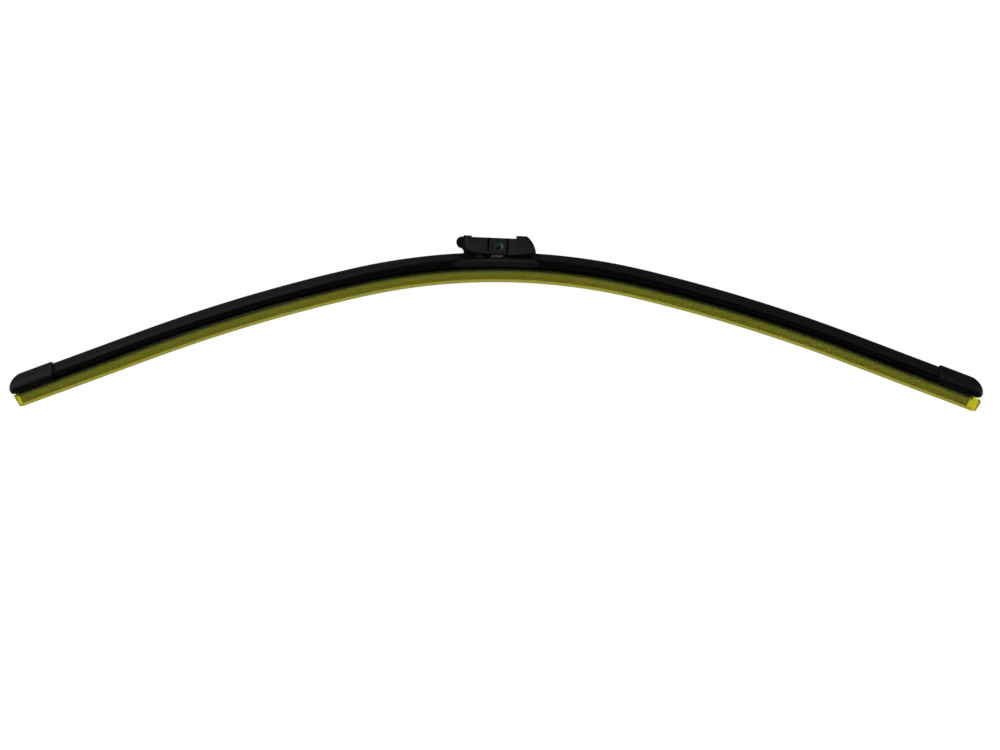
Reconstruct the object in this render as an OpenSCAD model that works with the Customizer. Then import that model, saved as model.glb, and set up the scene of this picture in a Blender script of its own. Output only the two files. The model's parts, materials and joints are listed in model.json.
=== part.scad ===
// Flat (beam) wiper blade with a rocking clip-on adapter and a yellow shipping sleeve.
//
// X runs along the blade, Z points away from the glass and Y is across the blade. The origin is
// the middle of the arm seat, the flat top of the adapter, above the pivot. Every long piece is
// one cross-section swept along the curve of the beam. A cross-section is drawn as [y, v]
// points: y is across the blade and v is the height above the middle of the spring strips.
// A place along the beam is its arc length s from the pivot.

/* [Blade] */
// Length of the blade along its curve, over the end caps
blade_length = 648; // [570:2:800]
// Rest angle of the adapter on its pivot, rear end down
adapter_tilt = 2; // [-3:0.25:3]

/* [Curve of the beam] */
// Radius of the middle of the beam
mid_radius = 404; // [320:4:560]
// Angle that the middle radius turns through, on each side
mid_angle = 13.1; // [9:0.1:17]
// Radius of the beam further out
outer_radius = 1093; // [893:10:1393]
// Angle that the outer radius turns through, on each side
outer_angle = 7.4; // [4:0.1:9]

/* [Spring strips] */
// Width of each spring strip
flexor_width = 5.4; // [4.4:0.1:6.4]
// Thickness of each spring strip
flexor_thickness = 0.9; // [0.7:0.05:1.2]
// Distance from the blade's tip to the strips' ends
flexor_inset = 6; // [5.5:0.1:6.6]
// Length of the latch notch in a strip's outer edge
notch_length = 4; // [2:0.2:5]
// Depth of the latch notch
notch_depth = 0.9; // [0.6:0.1:1.4]
// Distance from the strips' ends to the middle of the notch
notch_distance = 6; // [4:0.2:8]

/* [Rubber] */
// Width of the rubber between the two strips
web_width = 2; // [1.2:0.1:2.6]
// Width of the head above the strips
head_top_width = 6.4; // [5:0.1:7.6]
// Height of the head above the strips
head_top_height = 0.95; // [0.75:0.05:1.2]
// Width of the head below the strips
head_low_width = 8.4; // [7.2:0.1:9]
// Height of the head below the strips
head_low_height = 1.15; // [0.8:0.05:1.3]
// Width of the neck under the head
neck_width = 3.4; // [2.4:0.1:4.4]
// Height of the neck under the head
neck_height = 1.3; // [1.1:0.05:1.8]
// Width of the bead between neck and hinge
bead_width = 6; // [4.8:0.1:6.4]
// Height of the bead between neck and hinge
bead_height = 1.4; // [1:0.05:1.8]
// Width of the thin hinge that lets the lip flip over
hinge_width = 0.9; // [0.6:0.05:1.2]
// Height of the thin hinge
hinge_height = 1.1; // [0.95:0.05:1.4]
// Width of the lip at its shoulders
lip_width = 4.8; // [4.2:0.1:5.4]
// Height of the lip's shoulders
lip_shoulder = 0.4; // [0.3:0.05:0.6]
// Height of the lip's taper
lip_taper = 2.6; // [2.2:0.1:3.4]
// Width of the wiping edge
edge_width = 0.8; // [0.5:0.05:1]
// Height of the wiping edge
edge_height = 1.6; // [1.2:0.1:2.2]
// Mean distance from the blade's tip to the rubber's ends
rubber_inset = 7.2; // [6.7:0.1:9]
// How far the rubber has slid towards the front end
rubber_slide = 1.3; // [0:0.1:1.5]

/* [Spoiler] */
// Height of the spoiler above the middle of the strips
spoiler_height = 7.1; // [6.2:0.1:8]
// Width of the spoiler's crest
crest_width = 2.2; // [1.6:0.1:3]
// Height of the edge where the flank meets the jaw
jaw_shoulder = 1.35; // [1.1:0.05:1.8]
// Wall of the jaw outside the strips
jaw_wall = 1; // [0.8:0.05:1.3]
// Thickness of the jaw under the strips
jaw_lip = 1.05; // [0.8:0.05:1.2]
// Width of the jaw under the strips
jaw_grip = 1.8; // [1.2:0.1:2]
// Distance from the connector's middle to each spoiler
spoiler_start = 26; // [25.2:0.1:26.6]
// Distance from the blade's tip to the spoilers' outer ends
spoiler_inset = 18; // [17:0.5:22]

/* [End caps] */
// Length of an end cap along the strips
cap_length = 29; // [26:0.5:40]
// Wall of an end cap round the spoiler
cap_wall = 1.3; // [1.1:0.05:1.6]
// Slant of the cap's mouth
cap_slant = 18; // [0:1:22]
// Length of the nose that falls from the cap's top to its tip
cap_nose = 9.8; // [8:0.2:14]
// Length of the rounding of the cap's sides at its tip
cap_side_round = 7.5; // [5:0.5:10]
// Radius of the cap's corner under its tip
cap_heel = 2.5; // [1.5:0.1:3.5]

/* [Connector] */
// Height of the pivot above the middle of the strips
pivot_height = 10; // [9.8:0.1:11.5]
// Distance of the connector's middle in front of the pivot
connector_shift = 1.3; // [0:0.1:2]
// Diameter of the pivot pin
pin_diameter = 5; // [4:0.1:5.4]
// Length of the pivot pin
pin_length = 13.6; // [13:0.1:13.9]
// Radius of the bracket's ears round the pivot
ear_radius = 3.9; // [3.5:0.1:4.2]
// Distance over the outside of the two ears
ear_span = 10.4; // [9.8:0.1:10.6]
// Width of the flare at the foot of an ear
ear_flare = 1.5; // [0.5:0.1:2.5]
// Thickness of the bracket's sheet steel
bracket_sheet = 1; // [0.8:0.05:1.1]
// Length of the bracket
bracket_length = 38; // [32:1:44]
// Length of one claw of the bracket
claw_length = 7; // [5:0.5:9]
// Width of a claw's lip under the strips
claw_grip = 1.8; // [1.2:0.1:2]
// Length of the connector cover
cover_length = 54.5; // [53.5:0.5:60]
// Wall of the cover beside the bracket's claws
cover_wall = 1; // [0.8:0.05:1.2]
// Thickness of the cover's top deck
deck_wall = 0.5; // [0.4:0.05:0.7]
// Thickness of the lips that snap under the claws
cover_lip = 0.85; // [0.6:0.05:1.1]
// Half length of the trough in the cover's spine under the pivot pin
trough_reach = 12; // [8:0.5:14]
// Room between the trough's floor and the pivot pin
trough_room = 1; // [0.5:0.1:2.5]
// Length of the slope at each end of the trough
trough_slope = 6; // [4:0.5:8]

/* [Adapter] */
// Width of the adapter
adapter_width = 14; // [13.8:0.1:15]
// Thickness of a cheek
cheek_wall = 1.6; // [1.4:0.05:1.65]
// Height of the arm seat above the pivot
seat_height = 5.9; // [5.7:0.1:6.6]
// Thickness of the deck that carries the arm seat
seat_wall = 1.4; // [1.2:0.05:1.5]
// Distance from the pivot to the cheeks' front edge
cheek_front = 22.8; // [21.5:0.1:23.5]
// Height of the front edge above the pivot where the cheeks curve under
cheek_curve_height = 1; // [0:0.1:2]
// Length of the curve under the cheeks' front
cheek_curve_length = 9.2; // [6:0.2:12]
// Depth of the cheeks' front half below the pivot
cheek_depth = 4.1; // [3.8:0.1:4.3]
// Depth of the cheeks' bulge behind the pivot
bulge_depth = 4.7; // [4.3:0.1:4.9]
// Distance from the pivot to the middle of the bulge
bulge_distance = 7.8; // [6:0.2:9]
// Depth of the cheeks' rear end below the pivot
tail_depth = 2.8; // [1.5:0.1:3]
// Height of the ridge behind the nose, above the seat
ridge_height = 0.9; // [0.4:0.1:1.2]
// Length of the ridge behind the nose
ridge_length = 5.1; // [3:0.1:6]
// Distance from the pivot to the rear step
step_distance = 11.1; // [10.6:0.1:12.5]
// Height of the rear step above the seat
step_height = 1.8; // [1.2:0.1:2.4]
// Length of the flat top of the rear step
step_length = 6.1; // [5:0.1:7.5]
// Distance from the pivot to the rear end
rear_distance = 24; // [23:0.1:24.2]
// Width of the nose
nose_width = 9.2; // [7:0.1:10]
// Height of the nose
nose_height = 7.2; // [6:0.1:7.4]
// Height of the nose's middle above the pivot
nose_middle = 2.5; // [2.2:0.1:2.9]
// Distance that the nose stands out of the cheeks
nose_reach = 4.4; // [3.7:0.1:5]
// Depth of the chin under the nose, below the pivot
chin_depth = 3.8; // [2:0.1:4]
// Length of the chin behind the cheeks' front edge
chin_length = 7; // [3:0.5:8]
// Thickness of the ribs behind the slits
rib_wall = 1.6; // [1.2:0.1:1.8]
// Depth of the ribs below the pivot
rib_depth = 2.2; // [1:0.1:2.6]
// Width of the slot in the front and rear walls over the cover's spine
slot_width = 6.4; // [5.6:0.1:7]
// Height of the slot in the rear wall above the pivot
slot_height = 1.5; // [0.5:0.1:2.5]
// Width of the cheeks' spring tabs
tab_width = 12.2; // [10:0.1:12.6]
// Distance of the tabs' middle in front of the pivot
tab_shift = 0.5; // [0:0.1:1]
// Width of the slits beside the spring tabs
slit_width = 0.8; // [0.5:0.05:1.2]
// Diameter of the shallow recess round the pin's end
recess_diameter = 6.8; // [6:0.1:7.2]
// Depth of the shallow recess round the pin's end
recess_depth = 0.5; // [0.3:0.05:0.8]
// Width of the release tongue in the rear step
tongue_width = 6.2; // [5:0.1:7]
// Number of grip grooves across the release tongue
grip_grooves = 3; // [2:1:4]

/* [Sleeve] */
// Wall of the yellow sleeve
sleeve_wall = 0.6; // [0.4:0.05:0.7]
// Room between the rubber lip and the sleeve
sleeve_room = 0.25; // [0.15:0.05:0.35]
// Solid edge below the sleeve's channel
sleeve_keel = 1.5; // [1:0.1:2]
// Mean distance from the blade's tip to the sleeve's ends
sleeve_inset = 1; // [0.5:0.1:5]
// How far the sleeve has slid towards the rear end
sleeve_slide = 0.3; // [-1:0.1:1]

/* [Fits] */
// Gap between pieces that are pushed into each other
fit_gap = 0.1; // [0.06:0.01:0.14]
// Running clearance round the pivot pin
pin_clearance = 0.05; // [0.02:0.01:0.09]

/* [Hidden] */
$fn = 48;

half_length = blade_length / 2;
connector = -connector_shift;
far = 100;

// Chamfers that stand for small roundings, in mouldings and in sheet steel
corner = 0.3;
sheet_corner = 0.4;

// The curve of the beam, as arc lengths at which the radius changes
mid_end = mid_radius * mid_angle * PI / 180;
outer_end = mid_end + outer_radius * outer_angle * PI / 180;
mid_steps = 7;
outer_steps = 6;

// Places in the cross-section of the strips and the rubber
flexor_top = flexor_thickness / 2;
groove = flexor_top + fit_gap;
flexor_in = web_width / 2 + fit_gap;
flexor_out = flexor_in + flexor_width;
slot_out = flexor_out + fit_gap;
head_top = groove + head_top_height;
head_low = groove + head_low_height;
neck_low = head_low + neck_height;
bead_low = neck_low + bead_height;
lip_top = bead_low + hinge_height;
shoulder_low = lip_top + lip_shoulder;
taper_low = shoulder_low + lip_taper;
lip_low = taper_low + edge_height;

// Places in the cross-section of the spoiler and the end caps
jaw_out = slot_out + jaw_wall;
jaw_low = groove + jaw_lip;
crest_round = 0.6;
flank_steps = 4;
cap_out = jaw_out + fit_gap + cap_wall;
cap_top = spoiler_height + fit_gap + cap_wall;
cap_low = max(jaw_low, head_low) + fit_gap + cap_wall;
cap_edge = jaw_shoulder + cap_wall / 2;
tip_height = 0.8;

// Places in the cross-section of the bracket and the cover
hat_low = head_top + fit_gap;
hat_top = hat_low + bracket_sheet;
hat_out = ear_span / 2;
hat_in = hat_out - bracket_sheet;
rail_top = groove + bracket_sheet;
claw_out = slot_out + bracket_sheet;
claw_low = groove + bracket_sheet;
deck_low = hat_top + fit_gap;
deck_top = deck_low + deck_wall;
cover_in = max(claw_out, jaw_out) + fit_gap;
cover_out = cover_in + cover_wall;
lip_high = max(claw_low, jaw_low) + fit_gap;
cover_low = lip_high + cover_lip;

// The pivot stands under the origin, turned with the adapter
pivot = [-seat_height * sin(adapter_tilt), 0, -seat_height * cos(adapter_tilt)];

// Slope of the beam at arc length s >= 0, downwards, in degrees
function slope(s) =
    s <= mid_end ? s / mid_radius * 180 / PI
    : s <= outer_end ? mid_angle + (s - mid_end) / outer_radius * 180 / PI
    : mid_angle + outer_angle;

// Middle line of the beam at arc length s >= 0, as [x, z] from its highest point
function middle(s) =
    let (a = slope(s))
    s <= mid_end ? mid_radius * [sin(a), cos(a) - 1]
    : s <= outer_end
        ? middle(mid_end) + outer_radius * [sin(a) - sin(mid_angle), cos(a) - cos(mid_angle)]
        : middle(outer_end) + (s - outer_end) * [cos(a), -sin(a)];

// Place [x, z] at arc length s and height v
function beam_point(s, v) =
    let (m = middle(abs(s)), a = slope(abs(s)))
    [pivot.x + sign(s) * (m.x + v * sin(a)), pivot.z - pivot_height + m.y + v * cos(a)];

// Places of a sweep's rings: nested pieces share them, so that they bend together
function half_places() = concat(
    [for (i = [1 : mid_steps]) mid_end * i / mid_steps],
    [for (i = [1 : outer_steps]) mid_end + (outer_end - mid_end) * i / outer_steps]
);
function all_places() =
    let (right = half_places())
    concat([for (i = [len(right) - 1 : -1 : 0]) -right[i]], [0], right);
function places(from, to) = concat(
    [from],
    [for (s = all_places()) if (s > from + 0.5 && s < to - 0.5) s],
    [to]
);

// Rounded quarter from [a, 0] to [0, b]: a power of 2 gives an ellipse, less a flatter curve
function quarter(a, b, power, steps) = [
    for (i = [0 : steps])
        let (t = 90 * i / steps)
        [a * pow(cos(t), 2 / power), b * pow(sin(t), 2 / power)]
];

// Hollow flank from a crest down to an edge
function flank(crest, edge) = [
    for (i = [0 : flank_steps])
        let (t = i / flank_steps)
        [crest.x + (edge.x - crest.x) * t * t, crest.y + (edge.y - crest.y) * t]
];

// A closed cross-section from its right half
function both_sides(half) = concat(
    [for (p = half) [-p.x, p.y]],
    [for (i = [len(half) - 1 : -1 : 0]) half[i]]
);

function box_section(y, low, high) = [[-y, high], [-y, low], [y, low], [y, high]];

// A skin over rings of points, with flat ends
module loft(rings) {
    n = len(rings[0]);
    last = len(rings) - 1;
    sides = [
        for (i = [0 : last - 1])
            for (j = [0 : n - 1])
                let (k = (j + 1) % n)
                [i * n + j, (i + 1) * n + j, (i + 1) * n + k, i * n + k]
    ];
    caps = [
        [for (j = [0 : n - 1]) j],
        [for (j = [n - 1 : -1 : 0]) last * n + j]
    ];
    polyhedron([for (ring = rings) each ring], concat(caps, sides), convexity = 10);
}

// Points of a cross-section at arc length s
function ring(section, s) = [
    for (p = section)
        let (b = beam_point(s, p.y))
        [b.x, p.x, b.y]
];

// A cross-section carried along the beam from one arc length to another
module sweep(section, from, to) {
    loft([for (s = places(from, to)) ring(section, s)]);
}

// A cross-section revolved along the beam's middle arc, from one arc length to another
module revolve(section, from, to) {
    degree = 180 / PI / mid_radius;
    translate([pivot.x, 0, pivot.z - pivot_height - mid_radius])
        rotate([90, 0, 0])
            rotate_extrude(angle = (to - from) * degree, start = 90 - to * degree, $fn = 720)
                polygon([for (p = section) [mid_radius + p.y, p.x]]);
}

// A cross-section extruded along the straight end of the beam, between two distances from the tip
module straight(section, inner, outer) {
    at_beam(half_length)
        translate([-inner, 0, 0])
            rotate([90, 0, 90])
                linear_extrude(inner - outer)
                    polygon(section);
}

// Puts what is drawn round the middle of the strips at arc length s >= 0
module at_beam(s) {
    place = beam_point(s, 0);
    translate([place.x, 0, place.y])
        rotate([0, slope(s), 0])
            children();
}

// Mirrors what is drawn at the right end to the left end
module at_left_end() {
    translate([pivot.x, 0, 0])
        mirror([1, 0, 0])
            translate([-pivot.x, 0, 0])
                children();
}

// An extrusion that runs over both ends of the blade, cut to length square to the beam
module cut_to_length(section, left, right) {
    difference() {
        sweep(section, -half_length, half_length);
        at_beam(right) translate([0, -far / 2, -far / 2]) cube(far);
        at_left_end() at_beam(left) translate([0, -far / 2, -far / 2]) cube(far);
    }
}

// A side view drawn in X and Z, extruded across the blade
module across(width) {
    rotate([90, 0, 0])
        linear_extrude(width, center = true)
            children();
}

// Outside of the spoiler, from crest to jaw, grown by a gap
function spoiler_outside(gap) =
    let (
        crest = crest_width / 2 + gap,
        out = jaw_out + gap,
        top = spoiler_height + gap,
        low = jaw_low + gap
    )
    concat(
        [[crest / 2, top], [crest * 0.9, top - crest_round / 3]],
        flank([crest, top - crest_round], [out - corner, jaw_shoulder + gap]),
        [
            [out, jaw_shoulder + gap - corner],
            [out, -groove / 2],
            [out - corner, -groove - jaw_lip / 3],
            [out - jaw_wall, -low]
        ]
    );

// The spoiler grips the outer edges of the strips and stands over the rubber's head
function spoiler_section() = both_sides(concat(
    spoiler_outside(0),
    [
        [slot_out - jaw_grip, -jaw_low],
        [slot_out - jaw_grip, -groove],
        [slot_out, -groove],
        [slot_out, groove],
        [head_top_width / 2 + 2 * fit_gap, groove],
        [head_top_width / 2 + 2 * fit_gap, head_top + fit_gap]
    ]
));

module spoiler_right() {
    color([0.11, 0.11, 0.11])
        sweep(spoiler_section(), connector + spoiler_start, half_length - spoiler_inset);
}

module spoiler_left() {
    color([0.11, 0.11, 0.11])
        sweep(spoiler_section(), -half_length + spoiler_inset, connector - spoiler_start);
}

// The rubber: a head with a groove for each strip, a neck, a bead, a thin hinge and the lip
function rubber_section() = both_sides([
    [head_top_width / 2 - corner, head_top],
    [head_top_width / 2, head_top - corner],
    [head_top_width / 2, groove],
    [web_width / 2, groove],
    [web_width / 2, -groove],
    [head_low_width / 2, -groove],
    [head_low_width / 2, -head_low + corner],
    [head_low_width / 2 - corner, -head_low],
    [neck_width / 2, -head_low],
    [neck_width / 2, -neck_low],
    [bead_width / 2 - corner, -neck_low],
    [bead_width / 2, -neck_low - corner],
    [bead_width / 2, -bead_low + corner],
    [bead_width / 2 - corner, -bead_low],
    [hinge_width / 2, -bead_low],
    [hinge_width / 2, -lip_top],
    [lip_width / 2 - corner / 2, -lip_top],
    [lip_width / 2, -lip_top - corner / 2],
    [lip_width / 2, -shoulder_low],
    [edge_width / 2 + corner / 2, -taper_low],
    [edge_width / 2, -taper_low - corner],
    [edge_width / 2, -lip_low]
]);

module rubber_element() {
    end = half_length - rubber_inset;
    color([0.05, 0.05, 0.05])
        cut_to_length(rubber_section(), end + rubber_slide, end - rubber_slide);
}

module notch() {
    at_beam(half_length - flexor_inset - notch_distance)
        for (side = [-1, 1])
            translate([0, side * flexor_out, 0])
                cube([notch_length, 2 * notch_depth, 3 * flexor_thickness], center = true);
}

module flexor(side) {
    end = half_length - flexor_inset;
    offset = side * (flexor_in + flexor_out) / 2;
    section = [
        for (p = box_section(flexor_width / 2, -flexor_top, flexor_top)) [p.x + offset, p.y]
    ];
    color([0.35, 0.36, 0.37])
        difference() {
            sweep(section, -end, end);
            notch();
            at_left_end() notch();
        }
}

module flexor_front() { flexor(-1); }
module flexor_rear() { flexor(1); }

// The sleeve: two lips that hook over the rubber's shoulders, walls that follow the lip's
// taper and a rounded solid edge
function sleeve_section() =
    let (
        hook_low = lip_top - fit_gap,
        hook_top = hook_low - sleeve_wall,
        in_top = lip_width / 2 + sleeve_room,
        in_low = edge_width / 2 + 2 * sleeve_room,
        mouth = hinge_width / 2 + 2 * sleeve_room,
        out_top = in_top + sleeve_wall,
        out_low = in_low + sleeve_wall,
        channel_low = lip_low + 2 * sleeve_room,
        keel_low = channel_low + sleeve_keel
    )
    both_sides(concat(
        [
            [in_low, -channel_low],
            [in_low, -taper_low],
            [in_top, -shoulder_low],
            [in_top, -hook_low],
            [mouth, -hook_low],
            [mouth + corner, -hook_top],
            [out_top - corner, -hook_top],
            [out_top, -hook_top - corner],
            [out_top, -shoulder_low - corner / 2],
            [out_low, -taper_low],
            [out_low, -keel_low + out_low]
        ],
        [for (a = [22.5 : 22.5 : 67.5]) [out_low * cos(a), -keel_low + out_low * (1 - sin(a))]]
    ));

module protective_sleeve() {
    end = half_length - sleeve_inset;
    color([0.80, 0.76, 0.05, 0.8])
        cut_to_length(sleeve_section(), end - sleeve_slide, end + sleeve_slide);
}

// Outside of an end cap
function cap_section() = both_sides(concat(
    [[crest_width / 4 + cap_wall / 2, cap_top]],
    flank([crest_width / 2 + cap_wall, cap_top - crest_round / 2], [cap_out - corner, cap_edge]),
    [
        [cap_out, cap_edge - 2 * corner],
        [cap_out, -groove],
        [cap_out - corner, -jaw_low],
        [cap_out - cap_wall, -cap_low],
        [bead_width / 2, -cap_low]
    ]
));

// Side view of an end cap from its tip: a long curve above, a small round heel below
function cap_side() =
    let (
        nose = quarter(cap_nose, cap_top - tip_height, 1.65, 7),
        heel = quarter(cap_heel, cap_low + tip_height, 2, 5),
        slant = tan(cap_slant)
    )
    concat(
        [[-cap_length + cap_low * slant, -cap_low], [-cap_length - cap_top * slant, cap_top]],
        [for (i = [len(nose) - 1 : -1 : 0]) [nose[i].x - cap_nose, tip_height + nose[i].y]],
        [for (i = [1 : len(heel) - 1]) [heel[i].x - cap_heel, tip_height - heel[i].y]]
    );

// Plan view of an end cap
function cap_plan() =
    let (side = quarter(cap_side_round, cap_out, 2.2, 6))
    concat(
        [[-2 * cap_length, -cap_out], [-2 * cap_length, cap_out]],
        [for (i = [len(side) - 1 : -1 : 0]) [side[i].x - cap_side_round, side[i].y]],
        [for (i = [1 : len(side) - 1]) [side[i].x - cap_side_round, -side[i].y]]
    );

module cap_outside() {
    intersection() {
        straight(cap_section(), 2 * cap_length, -1);
        at_beam(half_length) across(far) polygon(cap_side());
        at_beam(half_length) linear_extrude(far, center = true) polygon(cap_plan());
    }
}

module end_cap() {
    mouth = cap_length + 10;
    bead_room = bead_width / 2 + 3 * fit_gap;
    head_room = head_low_width / 2 + fit_gap;
    rubber_end = rubber_inset - rubber_slide - fit_gap;
    lug_length = notch_length - 4 * fit_gap;
    color([0.10, 0.10, 0.10])
        difference() {
            cap_outside();
            straight(both_sides(spoiler_outside(fit_gap)), mouth, spoiler_inset - fit_gap);
            difference() {
                straight(box_section(slot_out, -groove, groove), mouth, flexor_inset - fit_gap);
                at_beam(half_length - flexor_inset - notch_distance)
                    for (side = [-1, 1])
                        translate([0, side * (slot_out - notch_depth / 2 + fit_gap), 0])
                            cube([lug_length, notch_depth, 1.6 * groove], center = true);
            }
            straight(
                box_section(head_room, -head_low - fit_gap, head_top + fit_gap),
                mouth, rubber_end
            );
            straight(box_section(bead_room, -2 * cap_low, 0), mouth, rubber_end);
        }
}

module end_cap_right() { end_cap(); }
module end_cap_left() { at_left_end() end_cap(); }

// The bracket's sheet, folded over the rubber's head and flat on the strips
function bracket_section() = both_sides([
    [hat_out - sheet_corner, hat_top],
    [hat_out, hat_top - sheet_corner],
    [hat_out, rail_top],
    [claw_out - sheet_corner, rail_top],
    [claw_out - sheet_corner, groove],
    [hat_in, groove],
    [hat_in, hat_low]
]);

// The sheet where a claw closes round the strips' outer edges
function claw_section() = both_sides([
    [hat_out - sheet_corner, hat_top],
    [hat_out, hat_top - sheet_corner],
    [hat_out, rail_top],
    [claw_out - sheet_corner, rail_top],
    [claw_out, rail_top - sheet_corner],
    [claw_out, -claw_low + sheet_corner],
    [claw_out - sheet_corner, -claw_low],
    [slot_out - claw_grip, -claw_low],
    [slot_out - claw_grip, -groove],
    [slot_out, -groove],
    [slot_out, groove],
    [hat_in, groove],
    [hat_in, hat_low]
]);

module ear_outline() {
    foot = ear_radius + ear_flare;
    foot_low = rail_top + 0.2 - pivot_height;
    foot_top = foot_low + bracket_sheet;
    circle(ear_radius);
    polygon([
        [-foot, foot_low],
        [foot, foot_low],
        [foot, foot_top],
        [ear_radius, foot_top + 2 * ear_flare],
        [ear_radius, 0],
        [-ear_radius, 0],
        [-ear_radius, foot_top + 2 * ear_flare],
        [-foot, foot_top]
    ]);
}

module bracket() {
    front = connector - bracket_length / 2;
    rear = connector + bracket_length / 2;
    color([0.55, 0.56, 0.58])
        difference() {
            union() {
                revolve(claw_section(), front, front + claw_length);
                revolve(bracket_section(), front + claw_length, rear - claw_length);
                revolve(claw_section(), rear - claw_length, rear);
                translate(pivot)
                    for (side = [-1, 1])
                        translate([0, side * (hat_out - bracket_sheet / 2), 0])
                            across(bracket_sheet) ear_outline();
            }
            translate(pivot)
                across(far) circle(d = pin_diameter + 2 * pin_clearance);
        }
}

// Outside of the connector cover, a convex band on each side of a flat deck
function cover_outside() =
    let (
        band_width = 2.6,
        band = quarter(band_width, deck_top - cover_wall, 2, 3)
    )
    concat(
        [for (i = [3 : -1 : 0]) [cover_out - band_width + band[i].x, cover_wall + band[i].y]],
        [
            [cover_out, -groove],
            [cover_out - corner, -jaw_low],
            [cover_out - cover_wall, -cover_low]
        ]
    );

function cover_section() = both_sides(concat(
    cover_outside(),
    [
        [slot_out, -cover_low],
        [slot_out, -lip_high],
        [cover_in, -lip_high],
        [cover_in, rail_top + fit_gap],
        [hat_out + fit_gap, rail_top + fit_gap],
        [hat_out + fit_gap, deck_low]
    ]
));

// The deck between the two bands, which carries the spine as far as the spoilers' ends
function deck_section() = both_sides([
    [hat_out + 0.8, deck_top],
    [hat_out + 1.8, rail_top + fit_gap],
    [hat_out + fit_gap, rail_top + fit_gap],
    [hat_out + fit_gap, deck_low]
]);

// Side view of the cover's band, with rounded ends, as [s, v] on the beam
module cover_side() {
    end = cover_length / 2;
    taper = 7;
    upper = quarter(taper, deck_top, 2, 5);
    lower = quarter(taper, cover_low, 2, 4);
    outline = concat(
        [for (p = upper) [connector + end - taper + p.x, p.y]],
        [for (i = [len(upper) - 1 : -1 : 0]) [connector - end + taper - upper[i].x, upper[i].y]],
        [for (p = lower) [connector - end + taper - p.x, -p.y]],
        [for (i = [len(lower) - 1 : -1 : 0]) [connector + end - taper + lower[i].x, -lower[i].y]]
    );
    across(far) polygon([for (p = outline) beam_point(p.x, p.y)]);
}

// The spine on the deck, with the spoilers' crest and hollow flanks
function spine_section() =
    let (
        foot = hat_out + 0.6,
        floor_height = deck_low + deck_wall / 2
    )
    both_sides(concat(
        [[crest_width / 4, spoiler_height], [crest_width * 0.45, spoiler_height - crest_round / 3]],
        flank([crest_width / 2, spoiler_height - crest_round], [foot, floor_height + 0.1]),
        [[foot, floor_height]]
    ));

// The spine carries the spoilers' crest through the connector, with a trough for the pivot pin
module spine() {
    end = spoiler_start - fit_gap;
    floor_height = min(spoiler_height, pivot_height - pin_diameter / 2) - trough_room;
    rim = trough_reach + trough_slope;
    rim_height = spoiler_height + 1;
    trough = concat(
        [[-rim, rim_height]],
        [for (i = [-2 : 2]) [trough_reach * i / 2, floor_height]],
        [[rim, rim_height]]
    );
    difference() {
        revolve(spine_section(), connector - end, connector + end);
        across(far) polygon([for (p = trough) beam_point(p.x, p.y)]);
    }
}

module connector_cover() {
    band_end = cover_length / 2 + 1;
    deck_end = spoiler_start - fit_gap;
    window_length = 2 * (ear_radius + ear_flare + 0.3);
    window_width = bracket_sheet + 4 * fit_gap;
    spoiler_room = band_end - deck_end + 1;
    color([0.15, 0.15, 0.15])
        difference() {
            union() {
                intersection() {
                    revolve(cover_section(), connector - band_end, connector + band_end);
                    cover_side();
                }
                revolve(deck_section(), connector - deck_end, connector + deck_end);
                spine();
            }
            translate([pivot.x, 0, pivot.z - pivot_height + deck_low])
                for (side = [-1, 1])
                    translate([0, side * (hat_out - bracket_sheet / 2), 0])
                        cube([window_length, window_width, 3], center = true);
            for (start = [connector + deck_end, connector - deck_end - spoiler_room])
                revolve(both_sides(spoiler_outside(fit_gap)), start, start + spoiler_room);
        }
}

module pivot_pin() {
    chamfer = 0.4;
    end = pin_length / 2;
    color([0.45, 0.55, 0.53])
        translate(pivot)
            rotate([90, 0, 0])
                rotate_extrude()
                    polygon([
                        [0, -end + chamfer / 2],
                        [pin_diameter / 4, -end],
                        [pin_diameter / 2 - chamfer, -end],
                        [pin_diameter / 2, -end + chamfer],
                        [pin_diameter / 2, end - chamfer],
                        [pin_diameter / 2 - chamfer, end],
                        [pin_diameter / 4, end],
                        [0, end - chamfer / 2]
                    ]);
}

// Side view of the adapter round the pivot
function adapter_outline() =
    let (
        front = quarter(cheek_curve_length, cheek_curve_height + cheek_depth, 2, 6),
        hump_end = step_distance + step_length,
        hump_top = seat_height + step_height,
        rear = quarter(rear_distance - hump_end, hump_top + tail_depth, 1.5, 7)
    )
    concat(
        [
            [-cheek_front + ridge_length + 0.4, seat_height],
            [-cheek_front + ridge_length, seat_height + ridge_height],
            [-cheek_front + 0.5, seat_height + ridge_height],
            [-cheek_front, seat_height + ridge_height - 0.5]
        ],
        [for (p = front) [-cheek_front + cheek_curve_length - p.x, cheek_curve_height - p.y]],
        [
            [2, -cheek_depth],
            [bulge_distance - 2, -bulge_depth],
            [bulge_distance + 2, -bulge_depth]
        ],
        [for (p = rear) [hump_end + p.x, p.y - tail_depth]],
        [
            [step_distance + 0.4, hump_top],
            [step_distance, hump_top - 0.4],
            [step_distance, seat_height]
        ]
    );

// Side view of the hollow between the cheeks, under the deck and the rear step
function adapter_hollow() =
    let (
        hump_end = step_distance + step_length,
        hump_top = seat_height + step_height - seat_wall,
        rear = quarter(rear_distance - hump_end - seat_wall, hump_top + tail_depth, 1.5, 7)
    )
    concat(
        [
            [step_distance + seat_wall, seat_height - seat_wall],
            [-cheek_front + cheek_wall, seat_height - seat_wall],
            [-cheek_front + cheek_wall, -far],
            [rear_distance - seat_wall, -far]
        ],
        [for (p = rear) [hump_end + p.x, p.y - tail_depth]],
        [[step_distance + seat_wall, hump_top]]
    );

module nose_outline() {
    radius = nose_height / 2;
    middle_x = -cheek_front - nose_reach + radius;
    translate([middle_x, nose_middle]) circle(radius);
    translate([middle_x, nose_middle - radius])
        square([-cheek_front + cheek_wall - middle_x, nose_height]);
}

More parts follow.
